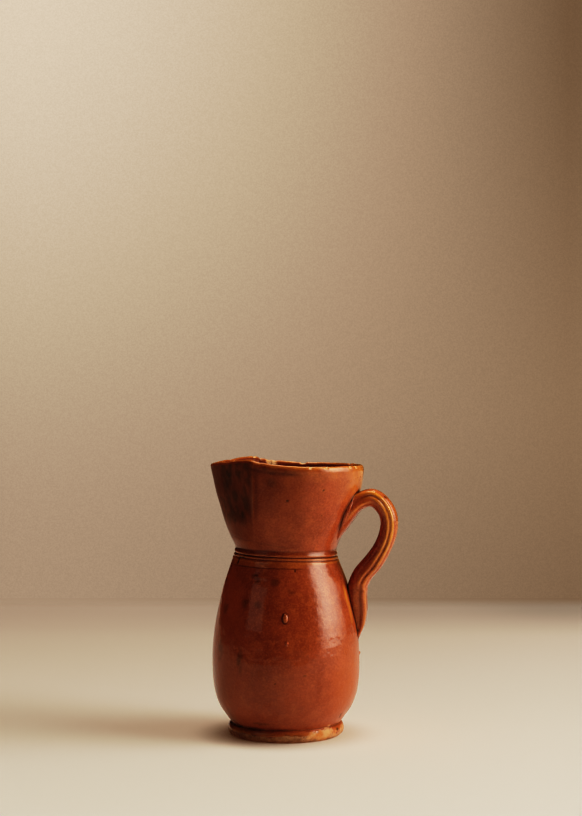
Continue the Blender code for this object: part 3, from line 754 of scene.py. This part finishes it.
# thumbed hollow in the tail
hollow = smooth(-66.0, -24.0, wa) * (1 - smooth(22.0, 40.0, wa))
dd = dd + in_tail * (-1.05 * hollow - 0.9 * bell(wa, 170.0, 30.0) + 0.65 * bell(wa, 50.0, 15.0))
back = np.clip(sa, 0, 1)[None, :]
under = np.clip(-sa, 0, 1)[None, :]
raise_ = (0.55 * strap_part + 1.1 * bell(ss, length[8] + 5.0, 9.0) + 1.0 * in_tail) * back + 3.0 * bell(ss, 9.5, 6.0) * under ** 1.2
H = C[:, None] + B[:, None] * (w * fat * ca * pinch)[..., None] + O[:, None] * (t * fat * sa - smear + raise_)[..., None]
rad = B[:, None] * (ca * fat)[..., None] + O[:, None] * (sa * fat)[..., None]
rad /= np.linalg.norm(rad, axis=-1, keepdims=True)
dd = dd + 0.16 * (fbm(H, 9.0, 91) - 0.5) * 2 + 0.30 * (fbm(H, 26.0, 93) - 0.5) * 2
dd = dd - 0.4 * bell(ss, length[4] - 2.0, 0.9) * bell(aa, 66.0, 7.0)
H = H + rad * dd[..., None]
# inside the wall the strap follows the wall, so that nothing shows inside the pot
hr = np.hypot(H[..., 0], H[..., 1])
skin = pot_r(H[..., 2]) + fuller(H[..., 2])
floor_r = skin - 1.4
push = np.where(hr < floor_r, floor_r / np.maximum(hr, 1e-6), 1.0)
H[..., 0] *= push
H[..., 1] *= push
proud = np.hypot(H[..., 0], H[..., 1]) - pot_r(H[..., 2]) - fuller(H[..., 2])

# glaze pooled in the strap's grooves; painted shade on the wall of the tail's hollow and where the strap meets the pot
hpool_and_shade = strap_part * (0.21 * g1 + 0.25 * g2) + in_tail * 0.18 * bell(wa, 29.0, 8.0) + at_root * 0.25 * bell(wa, 16.0, 12.0)
open_joint = np.where(H[..., 2] > 140.0, smooth(148.0, 158.0, H[..., 2]), 1.0)
hpool_and_shade = np.maximum(hpool_and_shade, 0.8 * (1 - smooth(0.1, 0.8, proud)) * open_joint)
# thin glaze on the strap's ridges, made stronger towards the bend and in the tail: partly painted highlight
hthin_and_highlight = strap_part * (0.90 * bell(wa, groove_c - 14.0, 8.0) + 1.0 * bell(wa, groove_c + 15.0, 9.0) + 0.20 * bell(aa, 75.0, 20.0) + 0.5 * ridge2 + 0.25 * at_bend * bell(wa, groove_c, 12.0))
hthin_and_highlight = hthin_and_highlight * (0.40 + 0.60 * smooth(36.0, 12.0, ss - s_[np.argmax(C[:, 0])]))
hthin_and_highlight = hthin_and_highlight + in_tail * (0.30 * bell(wa, 54.0, 14.0) + 0.2 * bell(wa, -40.0, 12.0) + 0.20 * bell(wa, 2.0, 28.0)) + at_root * (0.6 * bell(wa, 48.0, 11.0) + 0.35 * bell(wa, -22.0, 11.0))
hthin_and_highlight = hthin_and_highlight * (0.56 + 1.0 * fbm(H, 6.0, 95))
hstain = bell(ss, length[4] - 2.0, 1.3) * bell(aa, 66.0, 9.0) * 0.9
hstain = np.maximum(hstain, 0.9 * bell(ss, L - 8.5, 1.2) * bell(wrap_deg(aa), 8.0, 26.0))
verts = H.reshape(-1, 3)
faces = []
for i in range(S - 1):
    for k in range(R):
        k1 = (k + 1) % R
        faces.append((i * R + k, (i + 1) * R + k, (i + 1) * R + k1, i * R + k1))
faces.append(tuple(range(R)))
faces.append(tuple(range((S - 1) * R, S * R))[::-1])
handle = make_piece("handle_strap", verts, faces,
                    {"pool_and_shade": hpool_and_shade.ravel(), "thin_and_painted_light": hthin_and_highlight.ravel(), "stain": hstain.ravel()}, sharp=60.0)
for ob in (belly, foot_ring, neck, beak, handle):
    me = ob.data
    bm = bmesh.new()
    bm.from_mesh(me)
    bmesh.ops.recalc_face_normals(bm, faces=bm.faces[:])
    bm.to_mesh(me)
    bm.free()
    me.update()

# glaze gathers in the angle between handle and pot, and painted shade darkens that joint
tree = BVHTree.FromPolygons([Vector(v) for v in verts.tolist()], faces)
lo_h, hi_h = verts.min(0) - 4.0, verts.max(0) + 4.0
for ob in (belly, neck):
    me = ob.data
    co = np.empty(len(me.vertices) * 3, dtype=np.float32)
    me.vertices.foreach_get("co", co)
    co = co.reshape(-1, 3) / MM
    near = np.where(np.all((co > lo_h) & (co < hi_h), axis=1))[0]
    layer = me.attributes["pool_and_shade"]
    vals = np.empty(len(me.vertices), dtype=np.float32)
    layer.data.foreach_get("value", vals)
    for i in near:
        hit = tree.find_nearest(Vector(co[i].tolist()), 3.5)
        if hit[0] is not None:
            vals[i] = max(vals[i], 0.9 * (1 - float(smooth(0.6, 2.8, hit[3]) if co[i][2] > 140 else smooth(0.3, 1.4, hit[3]))) * (float(smooth(148.0, 158.0, co[i][2])) if co[i][2] > 140 else 1.0))
    layer.data.foreach_set("value", vals)
    me.update()


# ------------------------------------------------------------------ materials
def nodes_of(name):
    mat = bpy.data.materials.new(name)
    mat.use_nodes = True
    nt = mat.node_tree
    for n in list(nt.nodes):
        nt.nodes.remove(n)
    out = nt.nodes.new("ShaderNodeOutputMaterial")
    bsdf = nt.nodes.new("ShaderNodeBsdfPrincipled")
    nt.links.new(bsdf.outputs[0], out.inputs[0])
    return mat, nt, bsdf


class Graph:
    def __init__(self, nt):
        self.nt = nt

    def new(self, kind, **props):
        n = self.nt.nodes.new(kind)
        for k, v in props.items():
            setattr(n, k, v)
        return n

    def link(self, a, b):
        self.nt.links.new(a, b)

    def put(self, socket, v):
        if isinstance(v, (int, float)):
            socket.default_value = v
        elif isinstance(v, tuple):
            socket.default_value = v if len(v) == len(socket.default_value) else (*v, 1.0)
        else:
            self.link(v, socket)

    def attr(self, name):
        return self.new("ShaderNodeAttribute", attribute_name=name).outputs["Fac"]

    def coords(self, scale=(1, 1, 1)):
        tc = self.new("ShaderNodeTexCoord").outputs["Object"]
        m = self.new("ShaderNodeMapping")
        m.inputs["Scale"].default_value = scale
        self.link(tc, m.inputs["Vector"])
        return m.outputs[0]

    def noise(self, vec, scale, detail=3.0, rough=0.55, distortion=0.0):
        n = self.new("ShaderNodeTexNoise")
        self.link(vec, n.inputs["Vector"])
        n.inputs["Scale"].default_value = scale
        n.inputs["Detail"].default_value = detail
        n.inputs["Roughness"].default_value = rough
        n.inputs["Distortion"].default_value = distortion
        return n.outputs["Fac"]

    def ramp(self, fac, lo, hi, a=0.0, b=1.0):
        n = self.new("ShaderNodeMapRange", interpolation_type='SMOOTHSTEP')
        self.put(n.inputs["Value"], fac)
        for key, v in (("From Min", lo), ("From Max", hi), ("To Min", a), ("To Max", b)):
            n.inputs[key].default_value = v
        return n.outputs["Result"]

    def math(self, op, a, b=0.0, clamp=False):
        n = self.new("ShaderNodeMath", operation=op, use_clamp=clamp)
        self.put(n.inputs[0], a)
        self.put(n.inputs[1], b)
        return n.outputs[0]

    def mix(self, fac, a, b, blend='MIX'):
        n = self.new("ShaderNodeMix", data_type='RGBA', blend_type=blend)
        self.put(n.inputs["Factor"], fac)
        self.put(n.inputs["A"], a)
        self.put(n.inputs["B"], b)
        return n.outputs["Result"]


GLAZE = (0.466, 0.128, 0.0550)
GLAZE_DEEP_AND_SHADE = (0.358, 0.094, 0.0400)
GLAZE_WARM = (0.600, 0.200, 0.0780)
GLAZE_SPECK = (0.300, 0.068, 0.0280)
GLAZE_THIN_AND_LIT = (0.780, 0.340, 0.0720)
PAINTED_AMBER_LIGHT = (0.520, 0.150, 0.0240)
GLAZE_FLOOR_SHEEN = (0.620, 0.270, 0.1450)
GLAZE_DARK_AND_SHADE = (0.122, 0.032, 0.0060)
GLAZE_POOL_AND_SHADE = (0.030, 0.0065, 0.0028)
STAIN = (0.040, 0.0230, 0.0016)
BISCUIT = (0.590, 0.335, 0.200)
BISCUIT_PALE = (0.620, 0.380, 0.225)
CREAM = (0.780, 0.580, 0.380)


def glaze_material(name, foot=False):
    mat, nt, bsdf = nodes_of(name)
    g = Graph(nt)
    obj = g.coords()
    run = g.coords((1.0, 1.0, 0.16))
    cloud = g.noise(obj, 38.0, 4.0, 0.58, 0.3)
    mottle = g.noise(obj, 150.0, 3.0, 0.6)
    speck = g.noise(obj, 720.0, 1.0, 0.5)
    streak = g.noise(run, 170.0, 3.0, 0.6, 0.4)
    freckle = g.noise(obj, 420.0, 2.0, 0.5)

    grit = g.noise(g.coords((1.0, 1.0, 1.13)), 640.0, 1.0, 0.5)
    body = g.mix(g.ramp(cloud, 0.34, 0.66), GLAZE_DEEP_AND_SHADE, GLAZE)
    body = g.mix(g.math('MULTIPLY', g.ramp(mottle, 0.46, 0.76), 0.45), body, GLAZE_WARM)
    body = g.mix(g.math('MULTIPLY', g.ramp(streak, 0.52, 0.80), 0.35), body, GLAZE_DEEP_AND_SHADE)
    rings = g.noise(g.coords((0.10, 0.10, 1.0)), 520.0, 2.0, 0.6)
    body = g.mix(g.math('MULTIPLY', g.ramp(rings, 0.50, 0.78), 0.28), body, GLAZE_DEEP_AND_SHADE)
    body = g.mix(g.math('MULTIPLY', g.ramp(speck, 0.46, 0.66), 0.38), body, GLAZE_SPECK)
    body = g.mix(g.math('MULTIPLY', g.ramp(grit, 0.48, 0.66), 0.32), body, GLAZE_WARM)
    body = g.mix(g.math('MULTIPLY', g.ramp(freckle, 0.64, 0.74), 0.35), body, GLAZE_WARM)
    place = g.new("ShaderNodeSeparateXYZ")
    g.link(g.new("ShaderNodeTexCoord").outputs["Object"], place.inputs[0])
    # paler towards the bottom: a painted reflection of the floor
    body = g.mix(g.math('MULTIPLY', g.ramp(place.outputs["Z"], 0.060, 0.012), g.ramp(mottle, 0.25, 0.75, 0.07, 0.24)), body, GLAZE_FLOOR_SHEEN)
    # darker towards the bottom, and painted shade towards the left (-X)
    body = g.mix(g.math('MAXIMUM', g.ramp(place.outputs["Z"], 0.085, 0.025, 0.0, 0.36), g.ramp(place.outputs["X"], -0.018, -0.046, 0.0, 0.65)), body, GLAZE_DEEP_AND_SHADE)
    # painted warm light on the lower right (+X) side
    painted_amber_light = g.math('MULTIPLY', g.ramp(place.outputs["X"], 0.022, 0.054), g.ramp(place.outputs["Z"], 0.100, 0.050, 0.0, 0.60))
    body = g.mix(g.math('MULTIPLY', painted_amber_light, g.ramp(mottle, 0.30, 0.66, 1.0, 0.40)), body, PAINTED_AMBER_LIGHT)
    # dark glaze, and painted shade on the neck's left side and the beak
    body = g.mix(g.attr("dark"), body, GLAZE_DARK_AND_SHADE)
    # thin glaze, and painted highlights and painted light, in the same mask
    thin_and_painted_light = g.math('MULTIPLY', g.attr("thin_and_painted_light"), g.ramp(mottle, 0.20, 0.75, 0.75, 1.1), clamp=True)
    body = g.mix(thin_and_painted_light, body, GLAZE_THIN_AND_LIT)
    # pooled glaze, and painted shade in the joints and grooves, in the same mask
    body = g.mix(g.attr("pool_and_shade"), body, GLAZE_POOL_AND_SHADE)
    body = g.mix(g.attr("stain"), body, STAIN)
    # painted shade: the inside of the jug is darker
    inside = g.math('MULTIPLY', g.attr("inside"), 0.75)
    body = g.mix(inside, body, (0.170, 0.034, 0.0115))

    clay = g.mix(g.ramp(mottle, 0.30, 0.72), (0.370, 0.190, 0.105), BISCUIT)
    clay = g.mix(g.math('MULTIPLY', g.ramp(speck, 0.55, 0.75), 0.5), clay, (0.200, 0.095, 0.052))
    clay = g.mix(g.math('MULTIPLY', g.ramp(cloud, 0.45, 0.70), 0.45), clay, BISCUIT_PALE)
    cream = g.mix(g.ramp(mottle, 0.35, 0.65), (0.650, 0.272, 0.100) if foot else (0.780, 0.380, 0.120), (0.700, 0.425, 0.228) if foot else CREAM)
    if foot:
        clay = g.mix(g.attr("chip"), clay, cream)
        chip = None
    else:
        chip = g.math('MULTIPLY', g.attr("chip"), g.ramp(speck, 0.25, 0.5, 0.6, 1.0), clamp=True)
    ragged = g.math('MULTIPLY', g.math('SUBTRACT', mottle, 0.5), 0.7 if foot else 0.35)
    bare = g.ramp(g.math('ADD', g.attr("bare"), ragged), 0.22 if foot else 0.36, 0.78 if foot else 0.64)
    colour = g.mix(bare, body, clay)
    if chip is not None:
        colour = g.mix(chip, colour, cream)
        bare = g.math('MAXIMUM', bare, chip)
    g.link(colour, bsdf.inputs["Base Color"])

    gloss = g.ramp(cloud, 0.3, 0.7, 0.26, 0.38)
    rough = g.mix(bare, gloss, (0.82, 0.82, 0.82))
    g.link(rough, bsdf.inputs["Roughness"])
    coat = g.math('MULTIPLY', g.math('SUBTRACT', 1.0, bare, clamp=True), g.math('ADD', g.ramp(g.attr("dark"), 0.06, 0.60, 0.72, 0.04), g.math('MULTIPLY', g.attr("thin_and_painted_light"), 0.40)))
    g.link(coat, bsdf.inputs["Coat Weight"])
    bsdf.inputs["Coat Roughness"].default_value = 0.065
    bsdf.inputs["Coat IOR"].default_value = 1.55
    bsdf.inputs["IOR"].default_value = 1.5
    bsdf.inputs["Specular IOR Level"].default_value = 0.15

    peel = g.noise(obj, 210.0, 2.0, 0.5)
    fine = g.noise(obj, 1300.0, 2.0, 0.5)
    height = g.math('ADD', g.math('MULTIPLY', peel, 1.0), g.math('MULTIPLY', g.math('MULTIPLY', fine, bare), 0.9))
    height = g.math('ADD', height, g.math('MULTIPLY', g.noise(obj, 620.0, 2.0, 0.5), 0.10))
    bump = g.new("ShaderNodeBump")
    bump.inputs["Strength"].default_value = 0.32
    bump.inputs["Distance"].default_value = 0.0009
    g.link(height, bump.inputs["Height"])
    g.link(bump.outputs[0], bsdf.inputs["Normal"])
    coat_bump = g.new("ShaderNodeBump")
    coat_bump.inputs["Strength"].default_value = 0.30
    coat_bump.inputs["Distance"].default_value = 0.0006
    turning = g.noise(g.coords((0.22, 0.22, 1.0)), 190.0, 2.0, 0.5)
    swell = g.noise(obj, 60.0, 2.0, 0.5)
    ripple = g.math('ADD', g.math('ADD', peel, g.math('MULTIPLY', turning, 0.7)), g.math('MULTIPLY', swell, 2.2))
    g.link(ripple, coat_bump.inputs["Height"])
    g.link(coat_bump.outputs[0], bsdf.inputs["Coat Normal"])
    return mat


glaze = glaze_material("glaze")
foot_mat = glaze_material("foot_clay", foot=True)
for ob, mat, node, slot in ((belly, glaze, "belly", "glazed_clay"), (foot_ring, foot_mat, "foot_ring", "bare_clay"),
                            (neck, glaze, "neck", "glazed_clay"), (beak, glaze, "spout", "glazed_clay"),
                            (handle, glaze, "handle", "glazed_clay")):
    ob.data.materials.append(mat)
    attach(ob, "root")
    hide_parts(node)

# ------------------------------------------------------------------ stage
def plane(name, corners):
    me = bpy.data.meshes.new(name)
    me.from_pydata(corners, [], [(0, 1, 2, 3)])
    ob = bpy.data.objects.new(name, me)
    bpy.context.scene.collection.objects.link(ob)
    return ob


WALL_Y = 0.88
STUDIO = (0.400, 0.320, 0.245)


def wall_shade(g):
    """The backdrop's glow: pale at upper left, brown towards the right, as one wide lamp leaves it."""
    sep = g.new("ShaderNodeSeparateXYZ")
    g.link(g.new("ShaderNodeTexCoord").outputs["Object"], sep.inputs[0])
    rise = g.ramp(sep.outputs["Z"], 0.0, 0.86)
    left = g.mix(rise, (0.317, 0.250, 0.190), (0.555, 0.460, 0.365))
    low_right = g.mix(g.ramp(sep.outputs["Z"], -0.05, 0.26), (0.207, 0.148, 0.100), (0.240, 0.173, 0.117))
    right = g.mix(g.ramp(sep.outputs["Z"], 0.20, 0.80), low_right, (0.176, 0.120, 0.076))
    turn = g.math('POWER', g.math('DIVIDE', g.math('ADD', sep.outputs["X"], 0.335), 0.6925, clamp=True), 1.4)
    aside = g.ramp(g.math('ABSOLUTE', sep.outputs["X"], 0.0), 0.50, 1.30)
    return g.mix(aside, g.mix(turn, left, right), STUDIO), sep


floor = plane("floor", [(-3, -3, 0), (3, -3, 0), (3, 3, 0), (-3, 3, 0)])
mat, nt, bsdf = nodes_of("floor_paint")
g = Graph(nt)
grain = g.noise(g.coords(), 900.0, 2.0, 0.6)
tone = g.mix(g.ramp(grain, 0.3, 0.7), (0.695, 0.775, 0.815), (0.705, 0.785, 0.825))
far_shade, sep = wall_shade(g)
# painted shade: the floor darkens towards the back
tone = g.mix(g.math('DIVIDE', g.math('ADD', sep.outputs["Y"], 0.25), 0.85, clamp=True), tone, (0.548, 0.566, 0.582))
# painted shade: the far floor darker towards the right
across = g.math('ADD', g.ramp(sep.outputs["X"], -0.25, 0.20, 0.22, 0.58), g.ramp(sep.outputs["X"], 0.17, 0.34, 0.0, 0.33))
painted_far_right_shade = g.math('MULTIPLY', g.ramp(sep.outputs["Y"], 0.50, 0.78), across)
tone = g.mix(painted_far_right_shade, tone, (0.335, 0.340, 0.346))
# painted contact shadow round the foot, heavier on the left
near = g.new("ShaderNodeAmbientOcclusion")
near.samples = 8
near.inputs["Distance"].default_value = 0.035
painted_contact_shadow = g.math('MULTIPLY', g.ramp(near.outputs["AO"], 0.96, 0.30), g.ramp(sep.outputs["X"], 0.030, -0.040, 0.42, 1.0))
tone = g.mix(painted_contact_shadow, tone, (0.190, 0.140, 0.115))
g.link(tone, bsdf.inputs["Base Color"])
bsdf.inputs["Roughness"].default_value = 1.0
bsdf.inputs["Specular IOR Level"].default_value = 0.0
# the floor runs up into the backdrop without a hard line
glow = g.new("ShaderNodeEmission")
g.link(far_shade, glow.inputs["Color"])
sweep = g.new("ShaderNodeMixShader")
g.link(g.ramp(sep.outputs["Y"], 0.765, WALL_Y + 0.004), sweep.inputs[0])
g.link(bsdf.outputs[0], sweep.inputs[1])
g.link(glow.outputs[0], sweep.inputs[2])
# and on the other sides into the studio's plain tone
studio = g.new("ShaderNodeEmission")
studio.inputs["Color"].default_value = (*STUDIO, 1.0)
away = g.math('MAXIMUM', g.math('ABSOLUTE', sep.outputs["X"], 0.0), g.math('MULTIPLY', sep.outputs["Y"], -1.0))
sides = g.new("ShaderNodeMixShader")
g.link(g.ramp(away, 0.75, 1.75), sides.inputs[0])
g.link(sweep.outputs[0], sides.inputs[1])
g.link(studio.outputs[0], sides.inputs[2])
g.link(sides.outputs[0], [n for n in nt.nodes if n.type == 'OUTPUT_MATERIAL'][0].inputs[0])
floor.data.materials.append(mat)

backdrop = plane("backdrop", [(-4, WALL_Y, -0.2), (4, WALL_Y, -0.2), (4, WALL_Y, 4), (-4, WALL_Y, 4)])
mat, nt, bsdf = nodes_of("backdrop_paint")
g = Graph(nt)
shade, sep = wall_shade(g)
bsdf.inputs["Base Color"].default_value = (0.02, 0.02, 0.02, 1.0)
bsdf.inputs["Roughness"].default_value = 1.0
bsdf.inputs["Specular IOR Level"].default_value = 0.0
g.link(shade, bsdf.inputs["Emission Color"])
g.link(g.ramp(g.noise(g.coords(), 620.0, 2.0, 0.7), 0.3, 0.7, 0.95, 1.05), bsdf.inputs["Emission Strength"])
backdrop.data.materials.append(mat)
backdrop.visible_diffuse = False
backdrop.visible_glossy = False
backdrop.visible_shadow = False


def area(name, place, aim, size, power, colour=(1, 1, 1)):
    li = bpy.data.lights.new(name, 'AREA')
    li.shape = 'RECTANGLE'
    li.size, li.size_y = size
    li.energy = power
    li.color = colour
    ob = bpy.data.objects.new(name, li)
    ob.location = place
    ob.rotation_euler = (Vector(aim) - Vector(place)).to_track_quat('-Z', 'Y').to_euler()
    bpy.context.scene.collection.objects.link(ob)
    return ob


# key from the right, a little in front; its lower edge is near table height and its sides fade out
key = area("key", (2.012, -0.189, 1.05), (0.072, 0.291, 1.05), (2.80, 2.02), 87.0, (1.0, 0.945, 0.825))
key.data.use_nodes = True
g = Graph(key.data.node_tree)
lamp = [n for n in key.data.node_tree.nodes if n.type == 'EMISSION'][0]
sep = g.new("ShaderNodeSeparateXYZ")
g.link(g.new("ShaderNodeNewGeometry").outputs["Parametric"], sep.inputs[0])
away = g.math('DIVIDE', g.math('SUBTRACT', 0.95, sep.outputs["X"]), 0.52, clamp=True)
across_lamp = g.math('MULTIPLY', g.ramp(sep.outputs["X"], 0.0, 0.33), away)
g.link(g.math('MULTIPLY', across_lamp, g.ramp(sep.outputs["Y"], 0.0, 0.30, 0.62, 1.0)), lamp.inputs["Strength"])
back_card = area("back_card", (-0.70, 1.35, 0.85), (-0.02, 0.0, 0.12), (1.0, 1.0), 5.0, (1.0, 0.90, 0.78))
back_card.visible_glossy = False
right_card = area("right_card", (0.45, 1.25, 0.62), (0.05, 0.0, 0.15), (0.9, 1.6), 0.62, (1.0, 0.57, 0.20))
area("left_card", (-0.76, -0.59, 0.39), (0.0, 0.0, 0.10), (0.50, 0.40), 0.28, (1.0, 0.95, 0.92))
# the jug and the floor have a lamp each besides, so that the floor stays clear in front of the foot
top = area("top", (0.0, 0.42, 1.85), (0.0, 0.05, 0.0), (1.5, 1.4), 24.0, (1.0, 0.80, 0.61))
wash = bpy.data.objects.new("wash", bpy.data.lights.new("wash", 'SUN'))
wash.data.energy = 1.32
wash.data.color = (1.0, 0.71, 0.49)
wash.data.use_shadow = False
bpy.context.scene.collection.objects.link(wash)
sky = bpy.data.objects.new("sky", bpy.data.lights.new("sky", 'SUN'))
sky.data.energy = 0.26
sky.data.color = (1.0, 0.73, 0.52)
sky.data.angle = math.radians(85.0)
sky.rotation_euler = Vector((-0.45, 0.08, -1.0)).to_track_quat('-Z', 'Y').to_euler()
bpy.context.scene.collection.objects.link(sky)
for lamp_ob, lit in ((top, (belly, foot_ring, neck, beak, handle)), (right_card, (belly, foot_ring, neck, beak, handle)), (back_card, (belly, foot_ring, neck, beak, handle)), (wash, (floor,)), (sky, (floor,))):
    group = bpy.data.collections.new(lamp_ob.name + "_lit")
    for ob in lit:
        group.objects.link(ob)
    lamp_ob.light_linking.receiver_collection = group

world = bpy.data.worlds.new("studio")
bpy.context.scene.world = world
world.use_nodes = True
bg = world.node_tree.nodes["Background"]
bg.inputs["Color"].default_value = (*STUDIO, 1.0)
bg.inputs["Strength"].default_value = 1.0
world.cycles_visibility.diffuse = False
world.cycles_visibility.glossy = False

cam_data = bpy.data.cameras.new("camera")
cam_data.lens = 73.2
cam_data.sensor_width = 36.0
cam = bpy.data.objects.new("camera", cam_data)
cam.location = (0.00373, -1.2384, 0.2425)
cam.rotation_euler = (math.radians(90), 0, 0)
bpy.context.scene.collection.objects.link(cam)
bpy.context.scene.camera = cam
# a print's contrast: soft shoulder and deep shadows
view = bpy.context.scene.view_settings
view.view_transform = 'Standard'
view.use_curve_mapping = True
tone_curve = view.curve_mapping
tone_curve.extend = 'HORIZONTAL'
points = tone_curve.curves[3].points
for x, y in ((0.03, 0.0066), (0.06, 0.0218), (0.10, 0.0535), (0.16, 0.122), (0.25, 0.262), (0.35, 0.450), (0.50, 0.660), (0.70, 0.840)):
    points.new(x, y)
points[len(points) - 1].location = (1.0, 0.97)
for p in points:
    p.handle_type = 'AUTO_CLAMPED'
tone_curve.update()
